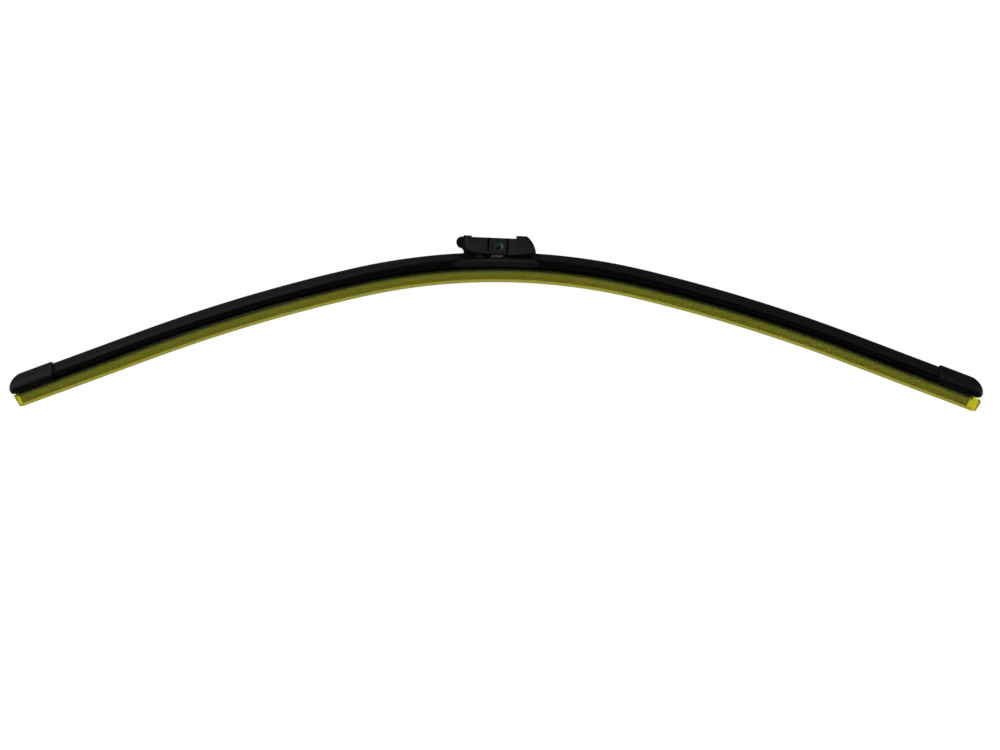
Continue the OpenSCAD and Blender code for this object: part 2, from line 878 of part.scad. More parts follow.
// Side view of the chin, which runs from under the nose down between the cheeks
function chin_outline() =
    let (chin_top = nose_middle - nose_height / 2 + cheek_wall)
    [
        [-cheek_front - 1, chin_top],
        [-cheek_front - 1, chin_top - cheek_wall],
        [-cheek_front + 0.4, -0.7 * chin_depth],
        [-cheek_front + 2, -0.85 * chin_depth],
        [-cheek_front + chin_length, -chin_depth],
        [-cheek_front + chin_length, chin_top]
    ];

// Side view of the slot through the chin and the rear wall
function slot_outline() =
    let (
        front_height = nose_middle - nose_height / 2 + 0.4,
        chin_back = -cheek_front + chin_length + 1
    )
    [
        [-far, -far],
        [-far, front_height],
        [chin_back, front_height],
        [chin_back, -2 * cheek_depth],
        [step_distance, -2 * cheek_depth],
        [step_distance, slot_height],
        [far, slot_height],
        [far, -far]
    ];

// Cuts that free the release tongue in the rear step
module tongue_cuts() {
    top = seat_height + step_height;
    floor_height = seat_height + 0.3;
    groove_width = 0.5;
    groove_depth = 0.3;
    groove_pitch = 1.2;
    for (side = [-1, 1])
        translate([step_distance, side * (tongue_width + slit_width) / 2, floor_height])
            translate([-1, -slit_width / 2, 0])
                cube([step_length, slit_width, far]);
    translate([step_distance, -tongue_width / 2, 0]) {
        translate([-1, 0, floor_height])
            cube([seat_wall + 2, tongue_width, groove_width]);
        for (i = [1 : grip_grooves])
            translate([groove_width + i * groove_pitch, 0, top - groove_depth])
                cube([groove_width, tongue_width, 1]);
    }
}

// Slits on both sides of the cheeks' spring tabs, as deep as the cheeks
module tab_slits() {
    slit_top = seat_height - 0.6;
    cheek_in = adapter_width / 2 - cheek_wall;
    for (side = [0, 1])
        for (x = [-tab_width / 2 - tab_shift, tab_width / 2 - tab_shift])
            translate([x - slit_width / 2, 0, slit_top - far])
                mirror([0, side, 0])
                    translate([0, cheek_in, 0])
                        cube([slit_width, 2 * cheek_wall, far]);
}

// Ribs that stiffen the deck behind the slits, clear of the cheeks' spring tabs
module ribs() {
    rib_span = adapter_width - 2 * cheek_wall - 4 * fit_gap;
    for (x = [-tab_width / 2 - tab_shift, tab_width / 2 - tab_shift])
        translate([x - rib_wall / 2, -rib_span / 2, -rib_depth])
            cube([rib_wall, rib_span, rib_depth + seat_height - seat_wall / 2]);
}

module adapter() {
    color([0.13, 0.13, 0.14])
        translate(pivot)
            rotate([0, adapter_tilt, 0])
                difference() {
                    union() {
                        difference() {
                            across(adapter_width) polygon(adapter_outline());
                            across(adapter_width - 2 * cheek_wall) polygon(adapter_hollow());
                        }
                        across(nose_width) nose_outline();
                        across(adapter_width - cheek_wall) polygon(chin_outline());
                        ribs();
                    }
                    across(slot_width) polygon(slot_outline());
                    tab_slits();
                    tongue_cuts();
                    across(far) circle(d = pin_diameter + 2 * pin_clearance);
                    for (side = [-1, 1])
                        translate([0, side * adapter_width / 2, 0])
                            across(2 * recess_depth) circle(d = recess_diameter);
                }
}

adapter();
pivot_pin();
bracket();
connector_cover();
flexor_front();
flexor_rear();
rubber_element();
spoiler_left();
spoiler_right();
end_cap_left();
end_cap_right();
protective_sleeve();
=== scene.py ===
"""Looks of a flat wiper blade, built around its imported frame. Lengths are in metres.

X runs along the blade, Z points away from the glass and Y is across the blade. The beam is a
curve in the XZ plane. A cross-section is drawn as (y, v, radius) corners in millimetres: y across
the blade, v the height above the middle of the spring strips, radius the rounding of that corner.
A place along the beam is its arc length s from the pivot.
"""

import json
import math

import bmesh
import bpy
from mathutils import Matrix, Vector


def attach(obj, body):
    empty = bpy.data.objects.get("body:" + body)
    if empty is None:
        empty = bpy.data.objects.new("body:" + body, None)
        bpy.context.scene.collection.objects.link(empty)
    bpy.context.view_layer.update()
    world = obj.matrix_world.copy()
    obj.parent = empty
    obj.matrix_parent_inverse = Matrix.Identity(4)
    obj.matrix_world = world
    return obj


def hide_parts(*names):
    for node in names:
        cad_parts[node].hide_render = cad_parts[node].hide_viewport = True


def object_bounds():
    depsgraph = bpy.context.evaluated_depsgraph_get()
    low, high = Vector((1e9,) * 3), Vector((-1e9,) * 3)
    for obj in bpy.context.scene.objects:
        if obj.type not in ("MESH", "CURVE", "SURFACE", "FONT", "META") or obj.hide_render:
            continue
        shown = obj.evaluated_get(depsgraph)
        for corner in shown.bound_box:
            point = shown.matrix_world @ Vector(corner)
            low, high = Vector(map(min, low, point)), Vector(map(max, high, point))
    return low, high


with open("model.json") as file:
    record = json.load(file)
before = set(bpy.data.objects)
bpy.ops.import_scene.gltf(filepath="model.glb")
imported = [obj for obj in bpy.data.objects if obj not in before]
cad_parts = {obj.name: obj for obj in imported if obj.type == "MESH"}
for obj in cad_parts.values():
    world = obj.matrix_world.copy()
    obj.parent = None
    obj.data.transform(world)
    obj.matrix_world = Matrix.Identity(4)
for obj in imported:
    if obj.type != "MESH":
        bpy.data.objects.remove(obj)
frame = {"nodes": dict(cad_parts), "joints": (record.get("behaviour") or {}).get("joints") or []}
cad_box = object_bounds()

MM = 0.001

# The beam's curve: a middle arc, a flatter arc on each side and straight ends
PIVOT = Vector(frame["joints"][0]["pos_m"])
PIVOT_HEIGHT = 10 * MM
MID_RADIUS = 404 * MM
MID_ANGLE = math.radians(13.1)
OUTER_RADIUS = 1093 * MM
OUTER_ANGLE = math.radians(7.4)
HALF_LENGTH = 324 * MM
MID_END = MID_RADIUS * MID_ANGLE
OUTER_END = MID_END + OUTER_RADIUS * OUTER_ANGLE

# Ends of the long pieces: how far they stay back from the blade's left (-1) and right (1) tip,
# and where the cover parts the two spoilers
RUBBER_INSET = {-1: 3.7 * MM, 1: 7.2 * MM}
SLEEVE_INSET = {-1: 1.3 * MM, 1: 0.7 * MM}
SPOILER_INSET = 18 * MM
COVER_MIDDLE = -1.3 * MM
COVER_HALF = 25.92 * MM

# How they are cut: rings along the beam, a trimmed edge, and the sleeve's leaning ends
RING_STEP = 3.5 * MM
END_TRIM = 0.12 * MM
SLEEVE_LEAN = math.tan(math.radians(6))
LEAN_RUN = 12 * MM
END_CORNER = 2 * MM

# Rounding: a section's arc takes at most MOST_OF_EDGE of each edge beside its corner. In a mesh,
# vertices nearer than WELD are one, and an edge below SHORT_EDGE stays as it is. The last three
# are the widths of rounded edges
MOST_OF_EDGE = 0.45
NEARLY_STRAIGHT = math.radians(88)
WELD = 0.002 * MM
SHORT_EDGE = 0.05 * MM
COVER_EDGE = 0.25 * MM
SHELL_EDGE = 0.4 * MM
CAP_EDGE = 0.16 * MM

# Cross-sections, right half
SPOILER = [
    (0.55, 7.1, 0), (1.05, 6.95, 0.5), (1.35, 5.6, 0.6), (2.2, 4.1, 2), (3.6, 2.85, 3),
    (6.9, 1.35, 0.35), (7.6, 0.95, 0.3), (7.6, -0.6, 0.4), (6.9, -1.6, 0.4), (4.8, -1.6, 0.15),
    (4.8, -0.55, 0.1), (6.6, -0.55, 0.1), (6.6, 0.55, 0.1), (3.4, 0.55, 0.2), (3.4, 1.6, 0.2),
]
RUBBER = [
    (3.2, 1.5, 0.2), (3.2, 0.55, 0.1), (1.0, 0.55, 0.15), (1.0, -0.55, 0.15), (4.2, -0.55, 0.1),
    (4.2, -1.7, 0.4), (1.7, -1.7, 0.25), (1.7, -3.0, 0.25), (3.0, -3.0, 0.3), (3.0, -4.4, 0.3),
    (0.45, -4.4, 0.2), (0.45, -5.5, 0.2), (2.4, -5.5, 0.2), (2.4, -5.9, 0.15), (0.6, -8.5, 0.5),
    (0.4, -8.8, 0.3), (0.4, -10.1, 0.05),
]
SLEEVE_FOOT = -12.1
SLEEVE = [
    (0.9, -10.6, 0.3), (0.9, -8.5, 0.5), (2.65, -5.95, 0.4), (2.65, -5.4, 0.1),
    (0.95, -5.4, 0.1), (1.2, -4.8, 0.1), (3.12, -4.8, 0.05), (3.16, -3.4, 0.1), (3.5, -3.4, 0.1),
    (3.4, -5.0, 0.3), (3.25, -6.05, 0.4), (1.5, -8.5, 0.8), (1.5, SLEEVE_FOOT, 1.4),
]
SPOILER_ROOM = [
    (0.55, 7.2, 0), (1.15, 7.05, 0.5), (1.45, 5.6, 0.6), (2.3, 4.1, 2), (3.7, 2.95, 3),
    (7.0, 1.45, 0.35), (7.7, 1.05, 0.3), (7.7, -0.6, 0.4), (7.0, -1.7, 0.4),
]

# End caps, in millimetres: the section, the height of the tip, the runs over which the sides and
# the top reach their full size, the flat top, the mouth's turned-in lip and, as CAP_BLEND, the
# height over which the shorter run of the lower half passes into that of the top. CAP_CROWDING
# draws the rings closer together near the tip
CAP_HALF = [
    (1.2, 8.5, 0.5), (2.4, 8.2, 0.8), (2.95, 6.0, 2.5), (4.5, 4.1, 4), (7.2, 2.55, 4),
    (8.95, 1.95, 0.5), (9.0, -0.6, 1), (8.6, -1.8, 1), (7.7, -3.1, 0.5),
]
CAP_OUTLINE = [(-y, v, r) for y, v, r in CAP_HALF] + CAP_HALF[::-1]
CAP_LENGTH = 29.5
CAP_TIP = 0.8
CAP_SIDE_RUN = 7.5
CAP_TOP_RUN = 9.8
CAP_TOP = 8.55
CAP_LIP = 0.9
CAP_LIP_DROP = 0.7
CAP_LIP_RINGS = (CAP_LIP, 0.5, 0.2, 0)
CAP_BLEND = 4
CAP_SLANT = math.tan(math.radians(8))
CAP_RINGS = 36
CAP_CROWDING = 1.7

# For each side: where the cap's tip and mouth lie from the blade's tip, and the lower half's run
CAP_REACH = {-1: (-1.2, 29.2, 2.8), 1: (0.3, 31.4, 3.8)}

# The caps' pockets, in millimetres: where they start, and (half width, lowest, highest)
SPOILER_ROOM_START = 17.9
STRIP_ROOM_START = 5.8
RUBBER_ROOM_START = {-1: 3.5, 1: 5.8}
STRIP_ROOM = (6.65, -0.6, 0.6)
HEAD_ROOM = (4.35, -1.85, 1.65)
NECK_ROOM = (3.35, -20, 0)
PAST_MOUTH = 45

# Half of the pin, whose end is dished and flared into the adapter's recess, as (radius, y)
PIN_END = [
    (0.02, 5.6), (0.5, 5.65), (0.9, 6.1), (1.3, 6.5), (1.8, 6.76), (2.4, 6.82), (3.0, 6.76),
    (3.25, 6.66), (3.25, 6.58), (3.1, 6.53), (2.5, 6.53),
]

# The adapter, in millimetres from the pivot and tilted: its slits, and the blocks behind them
# and under the chin, as ranges of x, of the distance from Y = 0 and of z
ADAPTER_TILT = math.radians(2)
SLITS = (-6.6, 5.6)
SLIT_WEBS = [((x - 0.5, x + 0.4), (3.6, 5.2), (-3.9, -2.0)) for x in SLITS]
CHIN_TAB = ((-22.3, -16.5), (5.6, 6.8), (-4.3, -1.0))


def slope(s):
    """Downward slope of the beam at arc length s >= 0, in radians."""
    if s <= MID_END:
        return s / MID_RADIUS
    if s <= OUTER_END:
        return MID_ANGLE + (s - MID_END) / OUTER_RADIUS
    return MID_ANGLE + OUTER_ANGLE


def middle(s):
    """Middle line of the beam at arc length s >= 0, from its highest point."""
    a = slope(s)
    if s <= MID_END:
        return MID_RADIUS * math.sin(a), MID_RADIUS * (math.cos(a) - 1)
    if s <= OUTER_END:
        x, z = middle(MID_END)
        return (
            x + OUTER_RADIUS * (math.sin(a) - math.sin(MID_ANGLE)),
            z + OUTER_RADIUS * (math.cos(a) - math.cos(MID_ANGLE)),
        )
    x, z = middle(OUTER_END)
    return x + (s - OUTER_END) * math.cos(a), z - (s - OUTER_END) * math.sin(a)


def on_beam(s, y, v):
    """Point at arc length s, across y and at height v."""
    x, z = middle(abs(s))
    a = slope(abs(s))
    side = math.copysign(1, s)
    return Vector((
        PIVOT.x + side * (x + v * math.sin(a)),
        y,
        PIVOT.z - PIVOT_HEIGHT + z + v * math.cos(a),
    ))


def rounded(corners, steps=4):
    """Outline of (y, v) points from (y, v, radius) corners, each rounded by an arc."""
    points = []
    count = len(corners)
    for i, (y, v, radius) in enumerate(corners):
        here = Vector((y, v))
        back = Vector(corners[i - 1][:2]) - here
        ahead = Vector(corners[(i + 1) % count][:2]) - here
        half = back.angle(ahead) / 2
        if radius == 0 or half > NEARLY_STRAIGHT:
            points.append(here)
            continue
        longest = MOST_OF_EDGE * min(back.length, ahead.length)
        reach = min(radius / math.tan(half), longest)
        inwards = (back.normalized() + ahead.normalized()).normalized()
        centre = here + inwards * (reach * math.tan(half) / math.sin(half))
        first = here + back.normalized() * reach - centre
        last = here + ahead.normalized() * reach - centre
        turn = first.angle_signed(last)
        for k in range(steps + 1):
            points.append(centre + Matrix.Rotation(-turn * k / steps, 2) @ first)
    return points


def both_sides(half):
    """A closed cross-section in metres from its right half in millimetres."""
    left = [(-y, v, r) for y, v, r in half]
    return [(y * MM, v * MM, r * MM) for y, v, r in left + half[::-1]]


def new_object(name, data):
    """An object in the scene for a mesh, a light or a camera."""
    made = bpy.data.objects.new(name, data)
    bpy.context.scene.collection.objects.link(made)
    return made


def new_piece(name, vertices, faces, smooth_angle=40):
    """A mesh piece, smooth apart from the edges that are sharper than smooth_angle."""
    mesh = bpy.data.meshes.new(name)
    mesh.from_pydata([tuple(p) for p in vertices], [], faces)
    mesh.validate()
    made = bmesh.new()
    made.from_mesh(mesh)
    bmesh.ops.recalc_face_normals(made, faces=made.faces)
    smooth(made, smooth_angle)
    made.to_mesh(mesh)
    made.free()
    return new_object(name, mesh)


def smooth(made, smooth_angle):
    """Shades all faces smooth and marks the edges that are sharper than smooth_angle."""
    for face in made.faces:
        face.smooth = True
    for edge in made.edges:
        edge.smooth = edge.is_manifold and edge.calc_face_angle() < math.radians(smooth_angle)


def ring_faces(rings, around, first=0):
    """Faces between rings of vertices, the first of which has the number first."""
    faces = []
    for i in range(rings - 1):
        for j in range(around):
            here = first + i * around
            k = (j + 1) % around
            faces.append((here + j, here + around + j, here + around + k, here + k))
    return faces


def ring_places(start, end):
    """Even places from start to end, about RING_STEP apart."""
    count = max(2, round((end - start) / RING_STEP))
    return [start + (end - start) * i / count for i in range(count + 1)]


def swept(name, outline, start, end, lean):
    """A cross-section carried along the beam, with the edges of its cut ends trimmed.

    The ends lean outwards at the top by lean times the height. A leaning end has a rounded
    lower corner, and the right one has a rounded upper corner too."""
    rings = [(s, 0) for s in ring_places(start + END_TRIM, end - END_TRIM)]
    rings = [(start, 1)] + rings + [(end, 1)]
    bottom = min(p.y for p in outline)
    top = max(p.y for p in outline)
    n = len(outline)
    vertices = []
    for s, trimmed in rings:
        leaning = max(1 - (end - s) / LEAN_RUN, 0) - max(1 - (s - start) / LEAN_RUN, 0)
        for i, p in enumerate(outline):
            inward = Vector((0, 0))
            if trimmed:
                along = outline[(i + 1) % n] - outline[i - 1]
                inward = Vector((-along.y, along.x)).normalized() * END_TRIM
            height = p.y - bottom
            near = min(height, top - p.y) if leaning > 0 else height
            cut = max(END_CORNER - near, 0) if lean else 0
            corner = END_CORNER - math.sqrt(END_CORNER ** 2 - cut ** 2)
            out = leaning * (lean * height - corner)
            vertices.append(on_beam(s + out, p.x + inward.x, p.y + inward.y))
    faces = ring_faces(len(rings), n)
    faces.append(tuple(range(n)))
    faces.append(tuple((len(rings) - 1) * n + j for j in range(n)))
    return new_piece(name, vertices, faces)


def softened(node, name, width):
    """A copy of a CAD node with its edges rounded, as a mould leaves them."""
    mesh = frame["nodes"][node].data.copy()
    mesh.materials.clear()
    made = bmesh.new()
    made.from_mesh(mesh)
    bmesh.ops.remove_doubles(made, verts=made.verts, dist=WELD)
    bmesh.ops.dissolve_limit(
        made, angle_limit=math.radians(1), verts=made.verts, edges=made.edges
    )
    made.to_mesh(mesh)
    made.free()
    round_edges(mesh, width, least_angle=28, segments=3)
    return new_object(name, mesh)


def add_blocks(piece, blocks):
    """Adds blocks in the tilted adapter to a piece, each on both sides of Y = 0."""
    tilt = Matrix.Rotation(ADAPTER_TILT, 3, "Y")
    made = bmesh.new()
    made.from_mesh(piece.data)
    for x_range, across, z_range in blocks:
        for side in (-1, 1):
            ranges = (x_range, sorted(side * y for y in across), z_range)
            for corner in bmesh.ops.create_cube(made, size=1)["verts"]:
                place = [(a + b) / 2 + c * (b - a) for (a, b), c in zip(ranges, corner.co)]
                corner.co = PIVOT + tilt @ (Vector(place) * MM)
    made.to_mesh(piece.data)
    made.free()


def round_edges(mesh, width, least_angle, segments):
    """Rounds the edges of a mesh that are sharper than least_angle, and smooths the rest."""
    made = bmesh.new()
    made.from_mesh(mesh)
    bmesh.ops.remove_doubles(made, verts=made.verts, dist=WELD)
    sharp = [
        e for e in made.edges
        if e.is_manifold
        and e.calc_face_angle() > math.radians(least_angle)
        and e.calc_length() > SHORT_EDGE
    ]
    bmesh.ops.bevel(
        made, geom=sharp, offset=width, offset_type="OFFSET", segments=segments, profile=0.5,
        affect="EDGES", clamp_overlap=True,
    )
    smooth(made, smooth_angle=30)
    made.to_mesh(mesh)
    made.free()


def soft_min(a, b, reach):
    """The smaller of two numbers, rounded off where they are about equal."""
    share = min(max(0.5 + 0.5 * (b - a) / reach, 0), 1)
    return b + (a - b) * share - reach * share * (1 - share)


def quarter(distance, length, power):
    """Height of a rounded quarter, 0 at its foot and 1 from length on."""
    if distance >= length:
        return 1
    return (1 - (1 - distance / length) ** power) ** (1 / power)


def ease(t):
    """A smooth step from 0 to 1."""
    t = min(max(t, 0), 1)
    return t * t * (3 - 2 * t)


def cap_point(side, u, y, v):
    """Point of an end cap, u millimetres from the blade's tip."""
    return on_beam(side * (HALF_LENGTH - u * MM), y * MM, v * MM)


def cap_mesh(side):
    """An end cap: its section along the straight end of the beam, drawn in to the tip."""
    tip, mouth, low_run = CAP_REACH[side]
    places = [CAP_LENGTH * (i / CAP_RINGS) ** CAP_CROWDING for i in range(CAP_RINGS)]
    places += [CAP_LENGTH - back for back in CAP_LIP_RINGS]
    outline = rounded(CAP_OUTLINE, steps=5)
    rings = []
    for u in places:
        width = quarter(u, CAP_SIDE_RUN, power=2.2)
        top = quarter(u, CAP_TOP_RUN, power=1.65)
        low = quarter(u, low_run, power=2)
        lip = max(u - CAP_LENGTH + CAP_LIP, 0) ** 2 * CAP_LIP_DROP
        reached = tip + u * (mouth - tip) / CAP_LENGTH
        ring = []
        for p in outline:
            rise = p.y - CAP_TIP
            v = CAP_TIP + rise * (low + (top - low) * ease(0.5 + rise / CAP_BLEND))
            slanted = reached + v * CAP_SLANT * (u / CAP_LENGTH) ** 2
            height = soft_min(v, CAP_TOP - lip, reach=0.2)
            ring.append(cap_point(side, slanted, p.x * width, height))
        rings.append(ring)
    n = len(outline)
    vertices = [rings[0][0]] + [p for ring in rings[1:] for p in ring]
    faces = [(0, 1 + j, 1 + (j + 1) % n) for j in range(n)]
    faces += ring_faces(len(rings) - 1, n, 1)
    faces.append(tuple(1 + (len(rings) - 2) * n + j for j in range(n)))
    return vertices, faces


def prism(side, section, start, end):
    """A cross-section in millimetres between two distances from the tip."""
    n = len(section)
    vertices = [cap_point(side, u, y, v) for u in (start, end) for y, v in section]
    faces = [(j, (j + 1) % n, n + (j + 1) % n, n + j) for j in range(n)]
    return vertices, faces + [tuple(range(n)), tuple(range(n, 2 * n))]


def box(y, low, high):
    """Outline of a pocket with straight sides."""
    return [(-y, high), (-y, low), (y, low), (y, high)]


def end_cap(name, side):
    """An end cap with its pockets for the spoiler, the strips and the rubber cut out."""
    cap = new_piece(name, *cap_mesh(side))
    spoiler_room = [(p.x / MM, p.y / MM) for p in rounded(both_sides(SPOILER_ROOM))]
    pockets = [
        (spoiler_room, SPOILER_ROOM_START),
        (box(*STRIP_ROOM), STRIP_ROOM_START),
        (box(*HEAD_ROOM), RUBBER_ROOM_START[side]),
        (box(*NECK_ROOM), RUBBER_ROOM_START[side]),
    ]
    for section, start in pockets:
        cutter = new_piece("cutter", *prism(side, section, start, PAST_MOUTH))
        cut = cap.modifiers.new("cut", "BOOLEAN")
        cut.operation = "DIFFERENCE"
        cut.solver = "EXACT"
        cut.object = cutter
        evaluated = cap.evaluated_get(bpy.context.evaluated_depsgraph_get())
        mesh = bpy.data.meshes.new_from_object(evaluated)
        cap.modifiers.clear()
        cap.data = mesh
        bpy.data.objects.remove(cutter)
    round_edges(cap.data, CAP_EDGE, least_angle=50, segments=2)
    return cap


def turned_pin(name, profile, steps=56):
    """A pin turned round the pivot's axis from (radius, y) points in millimetres."""
    vertices = []
    for radius, y in profile:
        for i in range(steps):
            a = 2 * math.pi * i / steps
            vertices.append(PIVOT + Vector((radius * math.cos(a), y, radius * math.sin(a))) * MM)
    faces = ring_faces(len(profile), steps)
    faces.append(tuple(range(steps)))
    faces.append(tuple((len(profile) - 1) * steps + j for j in range(steps)))
    return new_piece(name, vertices, faces, smooth_angle=30)


# Materials


class Shader:
    """A Principled material with short helpers for its node tree."""

    def __init__(self, name, **values):
        self.material = bpy.data.materials.new(name)
        self.material.use_nodes = True
        self.nodes = self.material.node_tree.nodes
        self.links = self.material.node_tree.links
        self.main = self.nodes["Principled BSDF"]
        for key, value in values.items():
            self.main.inputs[key.replace("_", " ")].default_value = value
        self.place = self.nodes.new("ShaderNodeTexCoord").outputs["Object"]

    def node(self, kind, inputs=(), **settings):
        made = self.nodes.new("ShaderNode" + kind)
        for key, value in settings.items():
            setattr(made, key, value)
        for key, value in dict(inputs).items():
            if isinstance(value, bpy.types.NodeSocket):
                self.links.new(value, made.inputs[key])
            else:
                made.inputs[key].default_value = value
        return made

    def uv(self, name):
        return self.node("UVMap", uv_map=name).outputs["UV"]

    def section_height(self):
        """Height in the cross-section of a swept piece."""
        return self.node("SeparateXYZ", {"Vector": self.uv("Section")}).outputs["Y"]

    def scaled(self, vector, scale):
        return self.node("Mapping", {"Vector": vector, "Scale": scale}).outputs[0]

    def noise(self, scale, detail=3, roughness=0.5, vector=None):
        vector = vector or self.place
        inputs = {"Vector": vector, "Scale": scale, "Detail": detail, "Roughness": roughness}
        return self.node("TexNoise", inputs).outputs["Fac"]

    def ramp(self, value, stops):
        made = self.node("ValToRGB", {"Fac": value})
        band = made.color_ramp
        for i, (position, colour) in enumerate(stops):
            step = band.elements[i] if i < 2 else band.elements.new(position)
            step.position = position
            step.color = (*colour, 1)
        return made.outputs["Color"]

    def maths(self, operation, *values):
        return self.node("Math", dict(enumerate(values)), operation=operation).outputs[0]

    def spread(self, value, low, high):
        """Spreads 0 to 1 over the range from low to high."""
        return self.fade(value, 0, 1, low, high)

    def fade(self, value, start, end, low, high):
        """Runs from low at start to high at end, and stays there beyond them."""
        inputs = {"Value": value, "From Min": start, "From Max": end, "To Min": low, "To Max": high}
        return self.node("MapRange", inputs).outputs[0]

    def window(self, value, centre, half, blur, inside, outside):
        """One value within half a width of the centre and another beyond it."""
        away = self.maths("ABSOLUTE", self.maths("SUBTRACT", value, centre))
        return self.fade(away, half - blur, half + blur, inside, outside)

    def choose(self, where, value):
        """The value where a mask is 1, and 1 where it is 0. Inputs 2 and 3 are the Mix's floats."""
        return self.node("Mix", {0: where, 2: 1, 3: value}).outputs[0]

    def painted_over(self, where, colour, other):
        """Another colour where a mask is 1. Inputs 6 and 7 are the Mix's colours."""
        inputs = {0: where, 6: colour, 7: (*other, 1)}
        return self.node("Mix", inputs, data_type="RGBA").outputs[2]

    def from_pivot(self, axis):
        """Distance from the pivot along an axis."""
        away = self.node("VectorMath", {0: self.place, 1: PIVOT}, operation="SUBTRACT").outputs[0]
        return self.node("VectorMath", {0: away, 1: axis}, operation="DOT_PRODUCT").outputs["Value"]

    def tinted(self, colour, factor):
        scale = self.node("VectorMath", {0: colour, "Scale": factor}, operation="SCALE")
        return scale.outputs[0]

    def bump(self, height, strength, distance, below=None):
        inputs = {"Height": height, "Strength": strength, "Distance": distance}
        if below:
            inputs["Normal"] = below
        return self.node("Bump", inputs).outputs[0]

    def set(self, **sockets):
        for key, socket in sockets.items():
            self.links.new(socket, self.main.inputs[key.replace("_", " ")])
        return self.material


# Painted shade on the adapter's nose, rolled edges and slits, placed from the pivot in the tilted
# adapter. A corner's curve has its extents along and up, its power, and the blend from light to
# dark

FRONT_CORNER = {
    "along": (-13.6 * MM, -22.8 * MM), "up": (1 * MM, -4.1 * MM), "power": 2, "blend": (0.7, 0.84),
}
REAR_CORNER = {
    "along": (17.2 * MM, 24 * MM), "up": (-2.8 * MM, 7.7 * MM), "power": 1.5, "blend": (0.7, 0.82),
}
FRONT_EDGE = -13.4 * MM
REAR_EDGE = 17 * MM
CORNER_DARK = 0.3
SLIT_HALF = 0.6 * MM
SLIT_DARK = 0.05
SLIT_MIDDLE_UP = 1.3 * MM
SLIT_HALF_UP = 4.15 * MM

# Painted shade on the caps, the cover and the extrusions, and a painted highlight stripe on the
# cover: heights above the strips, and for the stripe's middle and half length and the flank's
# run, places along X from the pivot

CAP_SHADOW = (-0.6 * MM, 1.0 * MM)
CAP_DARK = 0.25
STRIPE_HEIGHT = 1.7 * MM
STRIPE_HALF = 1.0 * MM
STRIPE_MIDDLE = -0.6 * MM
STRIPE_HALF_LENGTH = 24 * MM
COVER_SHADOW = (-1.5 * MM, 3.2 * MM)
COVER_DARK = (0.3, 0.6)
FLANK_SHADOW = (0.6 * MM, 1.8 * MM)
FLANK_DARK = 0.2
FLANK_RISE = 1.6 * MM
FLANK_RISE_RUN = (40 * MM, 140 * MM)

# A lighter patch on the cover, and the bracket's lit patch that its painted shade leaves out,
# both below the adapter, from the pivot

PATCH_HEIGHT = -5.6 * MM
PATCH_HALF = 0.6 * MM
PATCH_BLUR = 0.4 * MM
COVER_PATCH = (-14.5 * MM, -10 * MM)
BRACKET_LIT_PATCH = (-5.2 * MM, 2.5 * MM)

# The sleeve's colours run up to SLEEVE_RAMP_TOP, painted shade darkens them near that top, and
# it is bright from near the rubber's ends

SLEEVE_RAMP_TOP = -3.6 * MM
BARE_FROM = -0.3 * MM
BARE_BLEND = 1 * MM


def adapter_shade(look):
    """Painted shade on the adapter's nose, its rolled front and rear edges and its tabs' slits."""
    along = look.from_pivot((math.cos(ADAPTER_TILT), 0, -math.sin(ADAPTER_TILT)))
    up = look.from_pivot((math.sin(ADAPTER_TILT), 0, math.cos(ADAPTER_TILT)))

    def corner(run):
        x = look.maths("POWER", look.fade(along, *run["along"], 0, 1), run["power"])
        z = look.maths("POWER", look.fade(up, *run["up"], 0, 1), run["power"])
        return look.fade(look.maths("ADD", x, z), *run["blend"], 1, CORNER_DARK)

    behind = look.maths("GREATER_THAN", along, REAR_EDGE)
    ahead = look.maths("LESS_THAN", along, FRONT_EDGE)
    rear = look.choose(behind, corner(REAR_CORNER))
    factor = look.maths("MULTIPLY", rear, look.choose(ahead, corner(FRONT_CORNER)))
    beyond = look.window(up, SLIT_MIDDLE_UP, SLIT_HALF_UP, blur=0.1 * MM, inside=0, outside=1)
    for slit in SLITS:
        dark = look.window(
            along, slit * MM, SLIT_HALF, blur=0.2 * MM, inside=SLIT_DARK, outside=1
        )
        factor = look.maths("MULTIPLY", factor, look.maths("MAXIMUM", dark, beyond))
    return factor


def cap_shade(side):
    """Painted shade on the lower part of an end cap's side."""
    end = on_beam(side * HALF_LENGTH, 0, 0) - PIVOT
    up = (on_beam(side * HALF_LENGTH, 0, 1) - PIVOT - end).normalized()

    def darken(look):
        height = look.maths("SUBTRACT", look.from_pivot(up), end.dot(up))
        return look.fade(height, *CAP_SHADOW, CAP_DARK, 1)

    return darken


def cover_shade(look):
    """Painted highlight along the top of the cover's band, painted shade below, a lighter patch."""
    x = look.from_pivot((1, 0, 0))
    sagged = look.maths("DIVIDE", look.maths("MULTIPLY", x, x), 2 * MID_RADIUS)
    height = look.maths("ADD", look.maths("ADD", look.from_pivot((0, 0, 1)), sagged), PIVOT_HEIGHT)
    stripe = look.window(height, STRIPE_HEIGHT, STRIPE_HALF, blur=0.5 * MM, inside=1, outside=0)
    ends = look.window(x, STRIPE_MIDDLE, STRIPE_HALF_LENGTH, blur=1 * MM, inside=1, outside=0)
    low = look.fade(height, *COVER_SHADOW, *COVER_DARK)
    factor = look.maths("MAXIMUM", low, look.maths("MULTIPLY", stripe, ends))
    return look.maths("MULTIPLY", factor, patch_below_cheek(look, *COVER_PATCH, inside=6, outside=1))


def bracket_shade(look):
    """Painted shade over the bracket, all but a lit patch below the adapter."""
    return patch_below_cheek(look, *BRACKET_LIT_PATCH, inside=1, outside=0.08)


def patch_below_cheek(look, left, right, inside, outside):
    """A patch below the adapter's cheek that is brighter than the rest."""
    x = look.from_pivot((1, 0, 0))
    z = look.from_pivot((0, 0, 1))
    beside = look.window(x, (left + right) / 2, (right - left) / 2, PATCH_BLUR, inside, outside)
    above = look.window(z, PATCH_HEIGHT, PATCH_HALF, PATCH_BLUR, inside, outside)
    return look.maths("MINIMUM", beside, above)


